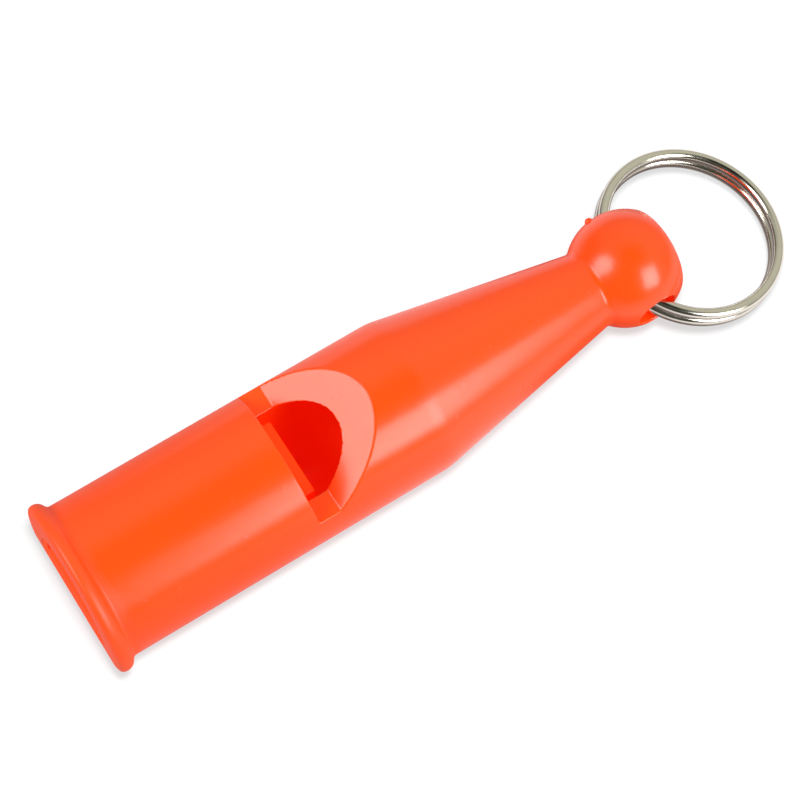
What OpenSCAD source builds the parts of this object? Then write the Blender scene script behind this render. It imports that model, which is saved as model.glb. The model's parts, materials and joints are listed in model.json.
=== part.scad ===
// Pealess dog whistle: a moulded body, the windway plug in its mouth and a split ring through its ball end.
// Millimetres. The whistle lies on its barrel with the sound window up, the mouth at -X and the ball at +X.
// Sizes along the whistle are counted from the mouth's front edge, heights from the barrel's axis.

/* [Barrel] */
// Outside diameter of the barrel
barrel_d = 17; // [15:0.5:20]
// Wall between the bore and the outside of the barrel
wall = 2.5; // [2:0.1:3]
// Length of the barrel, from the mouth to the start of the tail
barrel_l = 39.3; // [38:0.1:46]

/* [Mouthpiece] */
// Outside diameter of the lip bead
lip_d = 18.9; // [18:0.1:20]
// Width of the lip bead along the whistle
lip_w = 2.2; // [1.6:0.1:2.6]
// Depth by which the mouth face cuts into the bead's front
lip_flat = 0.16; // [0.04:0.02:0.4]
// Height of the chamfer that blends the bead into the barrel
lip_chamfer_h = 0.3; // [0.1:0.05:0.5]
// Length of that chamfer along the barrel
lip_chamfer_l = 0.6; // [0.2:0.1:1.2]
// Angle by which the mouth face leans back towards the ball
mouth_lean = 2; // [0:0.5:6]
// Depth of the mouth face's straight lower edge below the axis
chin_drop = 3; // [2:0.1:4]
// Angle between the mouth face and the sloping underside
chin_slope = 45; // [30:1:55]

/* [Windway] */
// Height of the windway at its middle, from its floor on the plug to the bore's roof
windway_h = 3.6; // [3:0.1:4.2]
// Width of the windway and of the tongue that carries its floor into the sound window
windway_w = 8.8; // [7:0.1:9]
// Size of the 45 degree chamfer on the windway floor's edge at the mouth
windway_flare = 0.2; // [0.1:0.1:1]
// Length of the tongue past the front wall of the sound window
plug_reach = 1.6; // [0.6:0.1:2]
// Radial glue gap between the plug and the bore
plug_clearance = 0.03; // [0.01:0.01:0.1]

/* [Sound window] */
// Distance from the mouth to the foot of the window's front wall
window_x = 24; // [20:0.5:25]
// Depth of the window's floor below the top of the barrel
window_depth = 5.3; // [4:0.1:6]
// Length of the window's flat floor
window_floor_l = 2.5; // [2:0.1:3.5]
// Angle by which the front wall leans towards the mouth
window_draft = 3; // [0:0.5:8]
// Slope of the ramp above the barrel's axis
ramp_angle = 34.5; // [28:0.5:45]
// Length of the sound chamber from the window's front wall to its closed end
chamber_l = 12.5; // [10:0.5:16]

/* [Tail] */
// Length of the conical tail
tail_l = 22.5; // [16:0.5:30]
// Diameter of the neck, where the tail meets the ball
neck_d = 8.5; // [7:0.1:10]
// Diameter of the ball
ball_d = 12.5; // [11:0.1:14]
// Distance from the ball's centre to its flattened end
ball_end = 5.2; // [4.6:0.1:5.4]
// Radius of the ball's flattened end
end_dome_r = 11; // [8:0.5:16]
// Distance from the ball's centre to the eye's axis, towards the end
eye_offset = 0.2; // [0:0.1:0.5]

/* [Split ring] */
// Outside diameter of the ring
ring_d = 20.7; // [18:0.1:25]
// Width of the wire across the ring
wire_w = 1.2; // [0.8:0.05:1.4]
// Height of the wire along the ring's axis
wire_h = 1.3; // [1:0.02:1.6]
// Corner radius of the wire
wire_corner = 0.5; // [0.2:0.05:0.6]
// Gap between the two coils
coil_gap = 0.04; // [0.02:0.01:0.1]
// Half of the angle over which the wire crosses from one coil to the other, inside the eye
crossing_angle = 25; // [20:1:28]
// Angle from that crossing to each cut end of the wire
end_gap_angle = 3; // [2:0.5:5]
// Gap between the ring and the eye at their closest
eye_clearance = 0.1; // [0.05:0.05:0.4]
// Angle by which the ring hangs below the whistle's axis
ring_dip = 12.6; // [0:0.1:20]
// Angle by which the loose ring rolls about the whistle's axis
ring_roll = 1.6; // [0:0.1:3]

/* [Hidden] */
$fn = 96;
// How far cutting shapes reach past what they cut
margin = 1;
// Angle by which the wire's crossing runs into each coil
crossing_overlap = 1;
// Largest share of a side of the wire that one corner may round
corner_share = 0.48;

barrel_r = barrel_d / 2;
bore_r = barrel_r - wall;
lip_r = lip_d / 2;
bead_r = lip_w / 2;
neck_r = neck_d / 2;
ball_r = ball_d / 2;

// Places along the whistle
bead_x = bead_r - lip_flat;
window_end_x = window_x + window_floor_l;
chamber_end_x = window_x + chamber_l;
plug_end_x = window_x + plug_reach;
neck_x = barrel_l + tail_l;
ball_x = neck_x + sqrt(ball_r * ball_r - neck_r * neck_r);
eye_x = ball_x + eye_offset;

// Heights above the axis
window_floor_z = barrel_r - window_depth;
windway_floor_z = bore_r - windway_h;

// The ring's arc is centred in the eye, which is as wide as the arc's bow, its roll and the two coils need
ring_r = (ring_d - wire_w) / 2;
coil_pitch = wire_h + coil_gap;
stack_half = wire_h + coil_gap / 2;
corner_r = min(wire_corner, corner_share * wire_w, corner_share * wire_h);
bow = ring_r - sqrt(ring_r * ring_r - ball_r * ball_r);
ring_reach = ring_r - bow / 2;
roll_rise = ball_r * sin(ring_roll);
eye_r = norm([bow / 2 + wire_w / 2 - corner_r, stack_half + roll_rise - corner_r]) + corner_r + eye_clearance;
crossing_tilt = asin(coil_pitch / 2 / (ring_r * sin(crossing_angle)));

// The frame's origin is under the middle of the whistle's box, on the surface that it lies on
ring_far_x = eye_x + (ring_reach + ring_r + wire_w / 2 - corner_r) * cos(ring_dip)
    + (stack_half - corner_r) * sin(ring_dip) + corner_r;
middle_x = ring_far_x / 2;

// Moves a piece from the barrel's axis to the frame
module place() {
    translate([-middle_x, 0, barrel_r]) children();
}

// A round bar or cone along +X
module bar(x0, x1, r0, r1) {
    translate([x0, 0, 0]) rotate([0, 90, 0]) cylinder(h = x1 - x0, r1 = r0, r2 = r1);
}

// Everything behind a plane across the whistle that is tilted about its lower edge
module behind_plane(angle) {
    size = 4 * barrel_d;
    translate([0, 0, -chin_drop]) rotate([0, angle, 0]) translate([-size, -size / 2, -size / 2]) cube(size);
}

// What the mouth face and the sloping underside cut away
module mouth_cut() {
    behind_plane(mouth_lean);
    behind_plane(-chin_slope);
}

// Profile of the lip's bead and the chamfer behind it
module lip_profile() {
    bead_c = [lip_r - bead_r, bead_x];
    chamfer_r = barrel_r + lip_chamfer_h;
    chamfer_x = bead_x + sqrt(bead_r * bead_r - pow(chamfer_r - bead_c[0], 2));
    translate(bead_c) circle(bead_r);
    polygon([
        [bore_r, bead_x],
        [chamfer_r, bead_x],
        [chamfer_r, chamfer_x],
        [barrel_r, chamfer_x + lip_chamfer_l],
        [bore_r, chamfer_x + lip_chamfer_l]
    ]);
}

// Profile of the ball, flattened at its far end
module ball_profile() {
    translate([0, ball_x]) intersection() {
        circle(ball_r);
        translate([0, ball_end - end_dome_r]) circle(end_dome_r);
        translate([0, -ball_r]) square(ball_d);
    }
}

// The body's outside, turned about the whistle's axis
module turned_body() {
    rotate([0, 90, 0]) rotate_extrude() {
        translate([0, -margin]) square([barrel_r, barrel_l + margin]);
        lip_profile();
        polygon([[0, barrel_l], [barrel_r, barrel_l], [neck_r, neck_x], [0, neck_x]]);
        ball_profile();
    }
}

// The cut of the sound window: front wall, flat floor and ramp
module sound_window() {
    top_z = barrel_r + margin;
    rise = top_z - window_floor_z;
    rotate([90, 0, 0]) linear_extrude(height = barrel_d + 2 * margin, center = true)
        polygon([
            [window_x, window_floor_z],
            [window_end_x, window_floor_z],
            [window_end_x + rise / tan(ramp_angle), top_z],
            [window_x - rise * tan(window_draft), top_z]
        ]);
}

// The cross hole for the ring
module eye() {
    translate([eye_x, 0, 0]) rotate([90, 0, 0]) cylinder(h = ball_d + 2 * margin, r = eye_r, center = true);
}

module whistle_body() {
    color([1, 0.36, 0.13]) place() difference() {
        turned_body();
        bar(-2 * margin, chamber_end_x, bore_r, bore_r);
        mouth_cut();
        sound_window();
        eye();
    }
}

// The windway's channel along the plug, chamfered at the mouth
module windway() {
    face_x = (windway_floor_z + chin_drop) * tan(mouth_lean);
    translate([-2 * margin, -windway_w / 2, windway_floor_z])
        cube([plug_end_x + 3 * margin, windway_w, bore_r]);
    translate([face_x + windway_flare, -windway_w / 2, windway_floor_z]) rotate([0, -45, 0])
        translate([-bore_r, 0, 0]) cube([bore_r + margin, windway_w, margin]);
}

// A bar that fills the bore under and beside the windway, with a tongue past the window's front wall
module windway_plug() {
    color([0.98, 0.3, 0.1]) place() difference() {
        bar(-margin, plug_end_x, bore_r - plug_clearance, bore_r - plug_clearance);
        mouth_cut();
        windway();
        for (y = [windway_w / 2, -windway_w / 2 - bore_r]) translate([window_x, y, -bore_r])
            cube([plug_reach + margin, bore_r, 2 * bore_r]);
    }
}

// Section of the wire, with rounded corners
module wire_section() {
    flat_w = wire_w - 2 * corner_r;
    flat_h = wire_h - 2 * corner_r;
    square([wire_w, flat_h], center = true);
    square([flat_w, wire_h], center = true);
    for (x = [-1, 1], y = [-1, 1]) translate([x * flat_w / 2, y * flat_h / 2]) circle(corner_r);
}

// An arc of wire about Z
module wire_arc(from, to) {
    rotate([0, 0, from]) rotate_extrude(angle = to - from) translate([ring_r, 0]) wire_section();
}

module split_ring() {
    joined_end = 180 - crossing_angle;
    cut_end = joined_end - end_gap_angle;
    color([0.75, 0.74, 0.7])
        place() translate([eye_x, 0, 0]) rotate([ring_roll, 0, 0]) rotate([0, ring_dip, 0])
        translate([ring_reach, 0, 0]) {
            translate([0, 0, coil_pitch / 2]) wire_arc(-cut_end, joined_end);
            translate([0, 0, -coil_pitch / 2]) wire_arc(-joined_end, cut_end);
            rotate([crossing_tilt, 0, 0])
                wire_arc(joined_end - crossing_overlap, 360 - joined_end + crossing_overlap);
        }
}

whistle_body();
windway_plug();
split_ring();
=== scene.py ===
"""Looks of a moulded dog whistle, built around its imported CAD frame.

The body and the windway plug are meshed from distance functions, which gives every moulded edge
and corner its own radius. The split ring is a wire section swept along two coils. Lengths are in
millimetres until a mesh is made. Whistle coordinates run along the axis: x from the mouth's front
edge, z up from the barrel's axis.
"""

import json
import math

import bpy
import numpy as np
from mathutils import Matrix, Vector


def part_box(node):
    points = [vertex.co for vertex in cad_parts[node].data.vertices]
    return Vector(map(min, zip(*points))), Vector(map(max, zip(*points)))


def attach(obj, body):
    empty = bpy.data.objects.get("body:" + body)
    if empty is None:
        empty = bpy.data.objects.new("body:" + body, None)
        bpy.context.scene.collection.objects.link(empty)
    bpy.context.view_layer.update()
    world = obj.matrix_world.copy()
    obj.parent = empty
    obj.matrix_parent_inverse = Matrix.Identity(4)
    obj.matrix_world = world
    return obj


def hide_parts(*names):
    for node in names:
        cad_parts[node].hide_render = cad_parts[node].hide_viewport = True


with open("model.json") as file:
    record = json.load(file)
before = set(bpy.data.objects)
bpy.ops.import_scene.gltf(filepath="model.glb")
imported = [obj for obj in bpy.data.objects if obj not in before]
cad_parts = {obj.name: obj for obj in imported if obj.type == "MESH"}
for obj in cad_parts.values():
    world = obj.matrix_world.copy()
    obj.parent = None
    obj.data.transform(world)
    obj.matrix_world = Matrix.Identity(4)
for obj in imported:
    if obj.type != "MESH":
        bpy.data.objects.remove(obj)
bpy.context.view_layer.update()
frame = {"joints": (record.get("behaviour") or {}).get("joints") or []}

MM = 0.001

# Barrel and mouthpiece
BARREL_R = 8.5
BORE_R = 6.0
BARREL_L = 39.3
LIP_R = 9.45
BEAD_R = 1.1
BEAD_X = 0.94
LIP_FILLET = 0.35
MOUTH_LEAN = math.radians(2)
CHIN_SLOPE = math.radians(45)
CHIN_Z = -3.0
MOUTH_ROUND = 0.45
CHIN_ROUND = 0.5
SEAM_ROUND = 0.05

# Windway plug
PLUG_GAP = 0.03
PLUG_END_X = 25.6
WINDWAY_W = 8.8
WINDWAY_FLOOR_Z = 2.4
WINDWAY_FLARE = 0.2
WINDWAY_ROUND = 0.25
WINDWAY_CORNER = 0.2
TONGUE_ROUND = 0.3

# Sound window and chamber
WINDOW_X = 24.0
WINDOW_END_X = 26.5
WINDOW_FLOOR_Z = 3.2
WINDOW_DRAFT = math.radians(3)
RAMP_ANGLE = math.radians(34.5)
WINDOW_ROUND = 0.12
WINDOW_CORNER = 0.15
RAMP_BLEND = 0.1
CHAMBER_END_X = 36.5

# Tail and ball
NECK_X = 61.8
NECK_R = 4.25
BALL_R = 6.25
BALL_END = 5.2
DOME_R = 11.0
BALL_X = NECK_X + math.sqrt(BALL_R**2 - NECK_R**2)
SHOULDER_BLEND = 0.12
NECK_FILLET = 0.35
BALL_BLEND = 0.2
EYE_R = 2.184
EYE_ROUND = 0.3
GATE_R = 0.45
GATE_TOWARD = (-0.168, 0.9034, 0.3943)
GATE_SINK = 0.05
GATE_FILLET = 0.1

# Split ring
RING_R = 9.75
RING_DIP = math.radians(12.6)
RING_ROLL = math.radians(1.6)
RING_REACH = 8.6167
WIRE_W = 1.2
WIRE_H = 1.3
WIRE_ROUNDNESS = 0.9
COIL_PITCH = 1.34
COIL_POINTS = 721
WIRE_POINTS = 48
CROSSING = math.radians(25)
END_GAP = math.radians(3)

# Where the whistle lies in the frame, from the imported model
body_low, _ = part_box("whistle_body")
WHISTLE_ORIGIN = np.array([body_low.x / MM, 0.0, BARREL_R])
EYE = np.array(frame["joints"][0]["pos_m"]) / MM - WHISTLE_ORIGIN


def camera(target, distance, azimuth, elevation, roll, lens):
    """A camera that looks at target; azimuth 0 looks along +Y, roll turns it about its line of sight."""
    az, el = math.radians(azimuth), math.radians(elevation)
    back = Vector((math.sin(az) * math.cos(el), -math.cos(az) * math.cos(el), math.sin(el)))
    right = Vector((0, 0, 1)).cross(back).normalized()
    up = back.cross(right)
    turn = Matrix.Rotation(math.radians(roll), 3, back)
    axes = Matrix((turn @ right, turn @ up, back)).transposed()
    data = bpy.data.cameras.new("camera")
    data.lens = lens
    data.sensor_width = 36
    seen = bpy.data.objects.new("camera", data)
    seen.matrix_world = Matrix.Translation(Vector(target) + distance * back) @ axes.to_4x4()
    bpy.context.scene.collection.objects.link(seen)
    bpy.context.scene.camera = seen


camera(
    target=(-0.004195, 0.00002, 0.0085), distance=0.23017,
    azimuth=-35.05, elevation=68.72, roll=2.785, lens=101.26,
)


# Distance functions: negative inside a solid, positive outside


def round_max(a, b, radius):
    """What two solids share, with their edge rounded to a radius."""
    edge = np.hypot(np.maximum(radius + a, 0), np.maximum(radius + b, 0))
    return np.minimum(-radius, np.maximum(a, b)) + edge


def round_min(a, b, radius):
    """Two solids joined, with a fillet of a radius between them."""
    return -round_max(-a, -b, radius)


def soft_max(a, b, width):
    """What two solids share, with the edge of faces that meet at a shallow angle eased over a width."""
    near = np.maximum(width - np.abs(a - b), 0)
    return np.maximum(a, b) + near * near / (4 * width)


def turned_outside(x, rho):
    """The lip, barrel, tail and ball, turned about the axis."""
    slope = math.atan2(BARREL_R - NECK_R, NECK_X - BARREL_L)
    tail = (rho - BARREL_R) * math.cos(slope) + (x - BARREL_L) * math.sin(slope)
    stem = np.maximum(soft_max(rho - BARREL_R, tail, SHOULDER_BLEND), x - BALL_X)
    bead = np.hypot(x - BEAD_X, rho - LIP_R + BEAD_R) - BEAD_R
    sphere = np.hypot(x - BALL_X, rho) - BALL_R
    dome = np.hypot(x - BALL_X - BALL_END + DOME_R, rho) - DOME_R
    ball = soft_max(sphere, dome, BALL_BLEND)
    return round_min(round_min(stem, bead, LIP_FILLET), ball, NECK_FILLET)


def gate_mark(x, y, z):
    """The nub that the mould's gate leaves on the ball."""
    middle = np.array(GATE_TOWARD) * (BALL_R - GATE_SINK) + [BALL_X, 0, 0]
    return np.sqrt((x - middle[0]) ** 2 + (y - middle[1]) ** 2 + (z - middle[2]) ** 2) - GATE_R


def mouth_end(x, z):
    """What lies behind the mouth face and above the sloping underside."""
    face = (z - CHIN_Z) * math.sin(MOUTH_LEAN) - x * math.cos(MOUTH_LEAN)
    chin = -(z - CHIN_Z) * math.sin(CHIN_SLOPE) - x * math.cos(CHIN_SLOPE)
    return round_max(face, chin, CHIN_ROUND)


def sound_window(x, z):
    """The cut of the window: front wall, flat floor and ramp."""
    wall = (WINDOW_X - x) * math.cos(WINDOW_DRAFT) - (z - WINDOW_FLOOR_Z) * math.sin(WINDOW_DRAFT)
    floor = WINDOW_FLOOR_Z - z
    slope = (x - WINDOW_END_X) * math.sin(RAMP_ANGLE) - (z - WINDOW_FLOOR_Z) * math.cos(RAMP_ANGLE)
    return round_max(wall, soft_max(floor, slope, RAMP_BLEND), WINDOW_CORNER)


def mouth_edge(y, z, depth):
    """Edge radius at the mouth face: wide round the windway and sharp elsewhere.

    The wide edge reaches down to a depth under the windway's floor.
    """
    inward = np.minimum(z - WINDWAY_FLOOR_Z + depth, WINDWAY_W / 2 - np.abs(y))
    return SEAM_ROUND + (WINDWAY_ROUND - SEAM_ROUND) * np.clip(inward / WINDWAY_ROUND, 0, 1)


def body_distance(x, y, z):
    """The moulded body: the turned outside less the mouth, bore, window and eye."""
    rho = np.hypot(y, z)
    bore = np.maximum(rho - BORE_R, x - CHAMBER_END_X)
    eye = np.hypot(x - EYE[0], z) - EYE_R
    solid = round_min(turned_outside(x, rho), gate_mark(x, y, z), GATE_FILLET)
    solid = round_max(solid, mouth_end(x, z), MOUTH_ROUND)
    solid = round_max(solid, -bore, mouth_edge(y, z, 0))
    solid = round_max(solid, -sound_window(x, z), WINDOW_ROUND)
    return round_max(solid, -eye, EYE_ROUND)


def plug_distance(x, y, z):
    """The plug: a round bar with the windway's channel and a tongue that ends in the window."""
    bar = np.hypot(y, z) - BORE_R + PLUG_GAP
    face_x = (WINDWAY_FLOOR_Z - CHIN_Z) * math.tan(MOUTH_LEAN)
    flare = (z - WINDWAY_FLOOR_Z + WINDWAY_FLARE - (x - face_x)) * math.sqrt(0.5)
    floor = soft_max(z - WINDWAY_FLOOR_Z, flare, WINDWAY_CORNER)
    beside = np.abs(y) - WINDWAY_W / 2
    channel = round_max(beside, -floor, WINDWAY_CORNER)
    solid = round_max(bar, -channel, SEAM_ROUND)
    solid = round_max(solid, np.minimum(x - WINDOW_X, beside), TONGUE_ROUND)
    solid = round_max(solid, x - PLUG_END_X, TONGUE_ROUND)
    return round_max(solid, mouth_end(x, z), mouth_edge(y, z, WINDWAY_ROUND))


def slope_of(distance, points):
    """Gradient of a distance function at points."""
    step = 1e-3
    sides = []
    for axis in range(3):
        shift = np.zeros(3)
        shift[axis] = step
        sides.append((distance(*(points + shift).T) - distance(*(points - shift).T)) / (2 * step))
    return np.stack(sides, axis=1)


def settle(distance, points, passes=3):
    """Moves points along the gradient onto the zero surface."""
    for _ in range(passes):
        slope = slope_of(distance, points)
        points = points - slope * (distance(*points.T) / np.maximum((slope**2).sum(1), 1e-6))[:, None]
    return points


def surface_net(distance, axes):
    """Points and quads of the zero surface on a grid.

    Each crossed cell gets one point, and each crossed grid edge one quad.
    """
    value = distance(*np.meshgrid(*axes, indexing="ij"))
    inside = value < 0
    cells = tuple(n - 1 for n in value.shape)
    count = np.zeros(cells)
    total = np.zeros(cells + (3,))
    crossed = []
    for axis in range(3):
        low = [slice(None)] * 3
        high = [slice(None)] * 3
        low[axis], high[axis] = slice(0, -1), slice(1, None)
        cut = inside[tuple(low)] != inside[tuple(high)]
        crossed.append(cut)
        place = np.argwhere(cut)
        ends = place.copy()
        ends[:, axis] += 1
        first, last = value[tuple(place.T)], value[tuple(ends.T)]
        share = first / (first - last)
        point = np.stack([axes[k][place[:, k]] for k in range(3)], axis=1)
        point[:, axis] += share * (axes[axis][ends[:, axis]] - axes[axis][place[:, axis]])
        others = [k for k in range(3) if k != axis]
        for du in (0, 1):
            for dv in (0, 1):
                cell = place.copy()
                cell[:, others[0]] -= du
                cell[:, others[1]] -= dv
                np.add.at(count, tuple(cell.T), 1)
                np.add.at(total, tuple(cell.T), point)
    active = count > 0
    index = np.full(cells, -1)
    index[active] = np.arange(active.sum())
    points = total[active] / count[active][:, None]
    quads = []
    for axis in range(3):
        u, v = (axis + 1) % 3, (axis + 2) % 3
        place = np.argwhere(crossed[axis])
        corners = []
        for du, dv in ((1, 1), (0, 1), (0, 0), (1, 0)):
            cell = place.copy()
            cell[:, u] -= du
            cell[:, v] -= dv
            corners.append(index[tuple(cell.T)])
        quad = np.stack(corners, axis=1)
        starts_inside = inside[tuple(place.T)]
        quad[~starts_inside] = quad[~starts_inside][:, ::-1]
        quads.append(quad)
    return points, np.concatenate(quads)


def relax(distance, points, quads, passes=4):
    """Evens out the points along the surface, so that the quads have like sizes."""
    first = quads.ravel()
    second = np.roll(quads, -1, axis=1).ravel()
    ends = np.concatenate([first, second])
    others = np.concatenate([second, first])
    share = np.bincount(ends, minlength=len(points))[:, None]
    for _ in range(passes):
        total = [np.bincount(ends, points[others, k], len(points)) for k in range(3)]
        mean = np.stack(total, axis=1) / share
        points = settle(distance, (points + mean) / 2, passes=2)
    return points


def grid_axis(*stretches):
    """Grid planes along one axis, from stretches of (start, end, spacing)."""
    planes = []
    for start, end, spacing in stretches:
        count = max(int(round((end - start) / spacing)), 1)
        planes.append(np.linspace(start, end, count, endpoint=False))
    return np.append(np.concatenate(planes), stretches[-1][1])


def to_frame(points):
    """Whistle coordinates in millimetres to the frame in metres."""
    return (np.asarray(points) + WHISTLE_ORIGIN) * MM


def frame_x(x):
    """A place along the whistle in millimetres to the frame in metres."""
    return (x + WHISTLE_ORIGIN[0]) * MM


def add_mesh(name, points, faces, normals=None):
    """A smooth mesh object from points in the frame."""
    mesh = bpy.data.meshes.new(name)
    mesh.from_pydata(points.tolist(), [], faces)
    mesh.shade_smooth()
    if normals is not None:
        mesh.normals_split_custom_set_from_vertices(normals.tolist())
    mesh.update()
    piece = bpy.data.objects.new(name, mesh)
    bpy.context.scene.collection.objects.link(piece)
    return piece


def add_moulding(name, distance, axes):
    """A closed mesh of a distance function's zero surface."""
    points, quads = surface_net(distance, axes)
    points = settle(distance, points)
    points = relax(distance, points, quads)
    slope = slope_of(distance, points)
    normals = slope / np.linalg.norm(slope, axis=1)[:, None]
    return add_mesh(name, to_frame(points), quads.tolist(), normals)


def wire_edge(share):
    """Half of the wire's width or height, as a share, at a cosine or sine round its section."""
    return np.sign(share) * np.abs(share) ** WIRE_ROUNDNESS


def add_split_ring():
    """Two coils of rounded wire with a smooth crossing in the eye."""
    start = -(math.pi - CROSSING - END_GAP)
    turns = np.linspace(start, 2 * math.pi - start, COIL_POINTS)[:, None]
    cross = np.clip((turns - math.pi) / (2 * CROSSING) + 0.5, 0, 1)
    rise = COIL_PITCH * (0.5 - cross * cross * (3 - 2 * cross))
    around = np.linspace(0, 2 * math.pi, WIRE_POINTS, endpoint=False)[None]
    radius = RING_R + WIRE_W / 2 * wire_edge(np.cos(around))
    height = rise + WIRE_H / 2 * wire_edge(np.sin(around))
    ring = np.stack([radius * np.cos(turns), radius * np.sin(turns), height], axis=-1)

    ids = np.arange(COIL_POINTS * WIRE_POINTS).reshape(COIL_POINTS, WIRE_POINTS)
    near, far = ids[:-1], ids[1:]
    corners = [near, far, np.roll(far, -1, axis=1), np.roll(near, -1, axis=1)]
    quads = np.stack(corners, axis=-1).reshape(-1, 4).tolist()
    ends = [ids[0].tolist(), ids[-1][::-1].tolist()]
    tilt = np.array(Matrix.Rotation(RING_ROLL, 3, "X") @ Matrix.Rotation(RING_DIP, 3, "Y"))
    points = (ring.reshape(-1, 3) + [RING_REACH, 0, 0]) @ tilt.T + EYE
    return add_mesh("ring_coils", to_frame(points), quads + ends)


# Materials: noise scales are per metre, bump depths in metres

ORANGE = (1.0, 0.096, 0.0066)
# Painted glow: the colour of emitted light that stands in for light the plastic scatters
PAINTED_GLOW = (1.0, 0.02, 0.0, 1)
PLASTIC_IOR = 1.55
FLOW_NOISE = dict(scale=90, detail=3)
FLOW_TINT = dict(darker=0.96, lighter=1.04)
SKIN_NOISE = dict(scale=900, detail=2)
SKIN_BUMP = dict(strength=0.03, depth=0.0002)
SKIN_GLOSS = 0.04
LIP_WEAR = 0.2
LIP_WEAR_X = (2.4, 3.6)
# Painted glow: how far past the bore's wall its strength changes
BORE_PAINTED_GLOW_EDGE = 0.5
PAST_BORE_X = (37.0, 39.0)

NICKEL = (0.8, 0.77, 0.68)
SPOT_NOISE = dict(scale=700, detail=5)
SPOT_TINT = dict(darker=0.9, lighter=1.06)
SPOT_RANGE = (0.3, 0.7)
SPOT_GLOSS = (-0.04, 0.06)
PIT_NOISE = dict(scale=2500, detail=3)
PIT_BUMP = dict(strength=0.008, depth=0.0001)


def new_material(name):
    """A material, its node tree and its Principled shader."""
    material = bpy.data.materials.new(name)
    material.use_nodes = True
    tree = material.node_tree
    return material, tree, tree.nodes["Principled BSDF"]


def object_place(tree):
    """The shaded point in the object's own coordinates."""
    return tree.nodes.new("ShaderNodeTexCoord").outputs["Object"]


def parts_of(tree, vector):
    """A vector's X, Y and Z."""
    split = tree.nodes.new("ShaderNodeSeparateXYZ")
    tree.links.new(vector, split.inputs[0])
    return split.outputs


def vector_math(tree, operation, vector, *constants):
    """The outputs of one operation on a node's vector and constant vectors."""
    node = tree.nodes.new("ShaderNodeVectorMath")
    node.operation = operation
    tree.links.new(vector, node.inputs[0])
    for socket, constant in zip(node.inputs[1:], constants):
        socket.default_value = constant
    return node.outputs


def noise(tree, place, scale, detail):
    """Fractal noise in the object's own coordinates."""
    texture = tree.nodes.new("ShaderNodeTexNoise")
    texture.inputs["Scale"].default_value = scale
    texture.inputs["Detail"].default_value = detail
    tree.links.new(place, texture.inputs["Vector"])
    return texture.outputs["Fac"]


def ramp(tree, value, low, high, at_low, at_high):
    """A value that eases from at_low to at_high while another goes from low to high."""
    node = tree.nodes.new("ShaderNodeMapRange")
    node.interpolation_type = "SMOOTHSTEP"
    for name, number in (("From Min", low), ("From Max", high), ("To Min", at_low), ("To Max", at_high)):
        node.inputs[name].default_value = number
    tree.links.new(value, node.inputs["Value"])
    return node.outputs["Result"]


def calculate(tree, operation, *values):
    """The result of one operation on one or two node values."""
    node = tree.nodes.new("ShaderNodeMath")
    node.operation = operation
    for socket, value in zip(node.inputs, values):
        tree.links.new(value, socket)
    return node.outputs[0]


def blend(tree, factor, first, second):
    """A colour between two others, each a constant or a node's colour."""
    node = tree.nodes.new("ShaderNodeMix")
    node.data_type = "RGBA"
    tree.links.new(factor, node.inputs["Factor"])
    for name, colour in (("A", first), ("B", second)):
        if isinstance(colour, tuple):
            node.inputs[name].default_value = colour
        else:
            tree.links.new(colour, node.inputs[name])
    return node.outputs["Result"]


def tinted(tree, shader, value, colour, darker, lighter):
    """Base colour that varies a little with a value."""
    low = (*[c * darker for c in colour], 1)
    high = (*[min(c * lighter, 1) for c in colour], 1)
    tree.links.new(blend(tree, value, low, high), shader.inputs["Base Color"])


def add_bump(tree, shader, height, strength, depth):
    """A bumpy skin of a depth, from a height between 0 and 1."""
    bump = tree.nodes.new("ShaderNodeBump")
    bump.inputs["Strength"].default_value = strength
    bump.inputs["Distance"].default_value = depth
    tree.links.new(height, bump.inputs["Height"])
    tree.links.new(bump.outputs["Normal"], shader.inputs["Normal"])


def plastic(name, colour, roughness, specular, painted_glow_inside, painted_glow_outside):
    """Bright moulded plastic: flow marks, a fine skin, a duller lip and a red glow.

    The glow is painted light, which stands for the light that the plastic scatters. It has its own
    strength in the bore.
    """
    material, tree, shader = new_material(name)
    shader.inputs["IOR"].default_value = PLASTIC_IOR
    shader.inputs["Specular IOR Level"].default_value = specular
    shader.inputs["Emission Color"].default_value = PAINTED_GLOW
    place = object_place(tree)
    along = parts_of(tree, place)["X"]
    tinted(tree, shader, noise(tree, place, **FLOW_NOISE), colour, **FLOW_TINT)

    skin = noise(tree, place, **SKIN_NOISE)
    gloss = ramp(tree, skin, 0, 1, roughness - SKIN_GLOSS, roughness + SKIN_GLOSS)
    wear = ramp(tree, along, *map(frame_x, LIP_WEAR_X), LIP_WEAR, 0)
    tree.links.new(calculate(tree, "ADD", gloss, wear), shader.inputs["Roughness"])

    # Painted glow: one strength on the bore's wall, another outside it and past the bore's end
    off_axis = vector_math(tree, "MULTIPLY_ADD", place, (0, 1, 1), (0, 0, -BARREL_R * MM))["Vector"]
    radius = vector_math(tree, "LENGTH", off_axis)["Value"]
    bore_edge = BORE_R + BORE_PAINTED_GLOW_EDGE
    in_bore = ramp(tree, radius, BORE_R * MM, bore_edge * MM, painted_glow_inside, painted_glow_outside)
    past_bore = ramp(tree, along, *map(frame_x, PAST_BORE_X), 0, painted_glow_outside)
    glow = calculate(tree, "MAXIMUM", in_bore, past_bore)
    tree.links.new(glow, shader.inputs["Emission Strength"])
    add_bump(tree, shader, skin, **SKIN_BUMP)
    return material


def nickel(name, colour, roughness):
    """Bright nickel plate with cloudy spots and a finely pitted skin."""
    material, tree, shader = new_material(name)
    shader.inputs["Metallic"].default_value = 1
    place = object_place(tree)
    spots = noise(tree, place, **SPOT_NOISE)
    tinted(tree, shader, spots, colour, **SPOT_TINT)
    gloss = ramp(tree, spots, *SPOT_RANGE, *[roughness + change for change in SPOT_GLOSS])
    tree.links.new(gloss, shader.inputs["Roughness"])
    add_bump(tree, shader, noise(tree, place, **PIT_NOISE), **PIT_BUMP)
    return material


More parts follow.
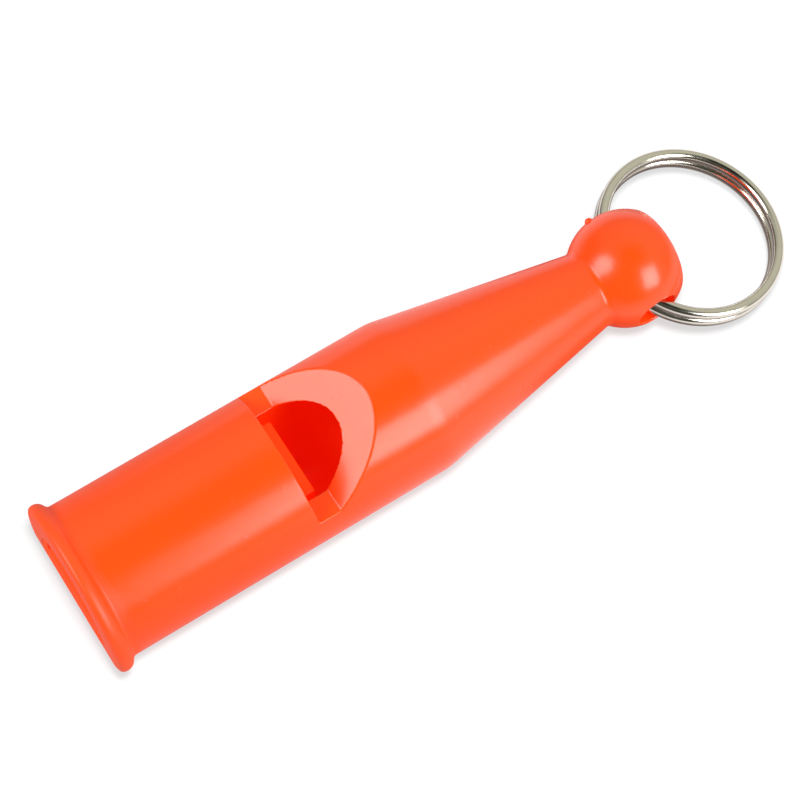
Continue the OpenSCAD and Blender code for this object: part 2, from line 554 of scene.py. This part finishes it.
def place_piece(piece, material, body, node):
    """Dresses a piece and puts it on its CAD body in place of its node."""
    piece.data.materials.append(material)
    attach(piece, body)
    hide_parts(node)
    return piece


# Grids of the moulded pieces: finer at the mouth, the sound window and the eye
body_grid = (
    grid_axis(
        (-0.4, 0.8, 0.1), (0.8, 3.6, 0.18), (3.6, 22.8, 0.8), (22.8, 34.0, 0.14), (34.0, 60.0, 0.8),
        (60.0, 64.4, 0.25), (64.4, 66.0, 0.13), (66.0, 72.0, 0.25),
    ),
    grid_axis((-9.8, 5.4, 0.25), (5.4, 6.6, 0.13), (6.6, 9.8, 0.25)),
    grid_axis((-9.8, 1.2, 0.3), (1.2, 7.0, 0.13), (7.0, 9.8, 0.22)),
)
plug_grid = (
    grid_axis((-0.4, 0.8, 0.1), (0.8, 23.0, 0.6), (23.0, 26.0, 0.1)),
    grid_axis((-6.4, 6.4, 0.15)),
    grid_axis((-6.4, 1.6, 0.2), (1.6, 4.6, 0.1)),
)

pieces = [
    place_piece(
        add_moulding("moulded_body", body_distance, body_grid),
        # Painted glow strengths on the bore's wall and outside
        plastic(
            "orange_plastic", ORANGE, roughness=0.25, specular=0.5, painted_glow_inside=0.1, painted_glow_outside=0.26
        ),
        "whistle", "whistle_body",
    ),
    place_piece(
        add_moulding("fipple_plug", plug_distance, plug_grid),
        # Painted glow strengths on the bore's wall and outside
        plastic(
            "plug_plastic", ORANGE, roughness=0.45, specular=0.2, painted_glow_inside=0.3, painted_glow_outside=0.3
        ),
        "whistle", "windway_plug",
    ),
    place_piece(
        add_split_ring(),
        nickel("nickel_plate", NICKEL, roughness=0.15),
        "ring", "split_ring",
    ),
]


# Stage: a pale floor and soft studio light, in metres and degrees

FLOOR_HALF = 2.0
FLOOR_ROUGHNESS = 0.9
FLOOR_SEEN_BY_LIGHT = (0.28, 0.34, 0.34, 1)
FLOOR_SEEN_BY_CAMERA = (0.2, 0.3, 0.3, 1)
FLOOR_SEEN_BY_MIRRORS = (0.06, 0.06, 0.06, 1)
FLOOR_LIFT = (0.635, 0.62, 0.63, 1)
# How the lift changes over the floor: from where, to where, and the strength at each
LIFT_FROM_MIDDLE = (0.03, 0.055, 1, 1.12)
# Painted light and shade that only mirrors see on the floor: lighter towards the front right, darker
# towards the back, and a painted shadow round the ball
MIRRORED_PAINTED_LIGHT_TO_RIGHT = (-0.028, 0.022, 0.45, 1.6)
MIRRORED_PAINTED_SHADE_TO_BACK = (-0.005, 0.012, 1, 0.85)
MIRRORED_PAINTED_SHADOW_ROUND_BALL = (0.011, 0.024, 0.05, 1)


def add_floor():
    """A pale floor, which the camera sees lifted to white, with the whistle's shadow on it.

    Mirrors see painted shade and light on it: a painted shadow round the ball, painted shade on the left
    and at the back, and a painted pool of light towards the front right.
    """
    half = FLOOR_HALF
    corners = [(-half, -half, 0), (half, -half, 0), (half, half, 0), (-half, half, 0)]
    mesh = bpy.data.meshes.new("floor")
    mesh.from_pydata(corners, [], [(0, 1, 2, 3)])
    floor = bpy.data.objects.new("floor", mesh)
    bpy.context.scene.collection.objects.link(floor)
    material, tree, shader = new_material("floor_white")
    shader.inputs["Roughness"].default_value = FLOOR_ROUGHNESS
    shader.inputs["Specular IOR Level"].default_value = 0
    shader.inputs["Emission Color"].default_value = FLOOR_LIFT
    path = tree.nodes.new("ShaderNodeLightPath").outputs
    seen = path["Is Camera Ray"]
    mirrored = calculate(tree, "MAXIMUM", path["Is Glossy Ray"], path["Is Transmission Ray"])
    colour = blend(tree, seen, FLOOR_SEEN_BY_LIGHT, FLOOR_SEEN_BY_CAMERA)
    colour = blend(tree, mirrored, colour, FLOOR_SEEN_BY_MIRRORS)
    tree.links.new(colour, shader.inputs["Base Color"])

    place = object_place(tree)
    parts = parts_of(tree, place)
    under_ball = to_frame((BALL_X, 0, -BARREL_R))
    from_ball = vector_math(tree, "DISTANCE", place, under_ball)["Value"]
    from_middle = vector_math(tree, "LENGTH", place)["Value"]
    # Painted light and shade for mirrors: lighter to the right, darker to the back, a painted shadow
    # round the ball
    painted_mirrored_lift = mirrored
    for value, change in (
        (parts["X"], MIRRORED_PAINTED_LIGHT_TO_RIGHT), (parts["Y"], MIRRORED_PAINTED_SHADE_TO_BACK), (from_ball, MIRRORED_PAINTED_SHADOW_ROUND_BALL)
    ):
        painted_mirrored_lift = calculate(tree, "MULTIPLY", painted_mirrored_lift, ramp(tree, value, *change))
    by_camera = calculate(tree, "MULTIPLY", seen, ramp(tree, from_middle, *LIFT_FROM_MIDDLE))
    lift = calculate(tree, "MAXIMUM", by_camera, painted_mirrored_lift)
    tree.links.new(lift, shader.inputs["Emission Strength"])
    mesh.materials.append(material)
    return floor


def toward(azimuth, elevation):
    """The direction of two angles; azimuth 0 is +X."""
    az, el = math.radians(azimuth), math.radians(elevation)
    return Vector((math.cos(az) * math.cos(el), math.sin(az) * math.cos(el), math.sin(el)))


def add_lamp(name, shape, side, distance, width, height, roll, radiance, lights, colour=(1, 1, 1)):
    """A lamp that faces the whistle from a side, (azimuth, elevation), and lights a list of objects.

    Its width and height are the angles that it spans as seen from the whistle.
    """
    aim = toward(*side)
    data = bpy.data.lights.new(name, "AREA")
    data.shape = shape
    data.size = 2 * distance * math.tan(math.radians(width / 2))
    data.size_y = 2 * distance * math.tan(math.radians(height / 2))
    fill = math.pi / 4 if shape == "ELLIPSE" else 1
    data.energy = radiance * math.pi * fill * data.size * data.size_y
    data.color = colour
    lamp = bpy.data.objects.new(name, data)
    facing = aim.to_track_quat("Z", "Y").to_matrix() @ Matrix.Rotation(math.radians(roll), 3, "Z")
    lamp.matrix_world = Matrix.Translation(aim * distance) @ facing.to_4x4()
    bpy.context.scene.collection.objects.link(lamp)
    lamp.light_linking.receiver_collection = bpy.data.collections.new(name + "_lights")
    for lit in lights:
        lamp.light_linking.receiver_collection.objects.link(lit)


def add_world(room, patches):
    """An even room with soft-edged patches of other brightness.

    Each patch is (azimuth, elevation, inner, outer, strength): its middle, the angles from there at
    which it starts and ends to fade, and its light as a share of the room's.
    """
    world = bpy.data.worlds.new("studio")
    bpy.context.scene.world = world
    world.use_nodes = True
    tree = world.node_tree
    back = tree.nodes["Background"]
    back.inputs["Color"].default_value = (*room, 1)
    place = tree.nodes.new("ShaderNodeTexCoord").outputs["Generated"]
    level = None
    for azimuth, elevation, inner, outer, strength in patches:
        along = vector_math(tree, "DOT_PRODUCT", place, toward(azimuth, elevation))["Value"]
        angle = calculate(tree, "ARCCOSINE", along)
        patch = ramp(tree, angle, math.radians(inner), math.radians(outer), strength, 1)
        level = patch if level is None else calculate(tree, "MULTIPLY", level, patch)
    tree.links.new(level, back.inputs["Strength"])


floor = add_floor()
add_lamp(
    "softbox_left", "ELLIPSE", side=(161, 41), distance=0.5, width=34, height=42, roll=0,
    radiance=5.4, lights=pieces,
)
add_lamp(
    "softbox_front", "RECTANGLE", side=(-66.5, 31), distance=0.5, width=28, height=36, roll=-20,
    radiance=6.6, lights=pieces,
)
add_lamp(
    "top_lamp", "ELLIPSE", side=(-121.9, 75.7), distance=0.241, width=7.8, height=7.8, roll=0,
    radiance=400, lights=[floor], colour=(1, 0.667, 0.667),
)
add_world(
    room=(0.45, 0.44, 0.37),
    patches=[
        (-70, 82, 10, 42, 0),
        (-135, 20, 30, 75, 0.15),
        (127, 8, 12, 40, 0.25),
        (20, 30, 20, 70, 1.35),
        (0, -90, 90, 125, 0.7),
    ],
)
bpy.context.scene.view_settings.view_transform = "Standard"
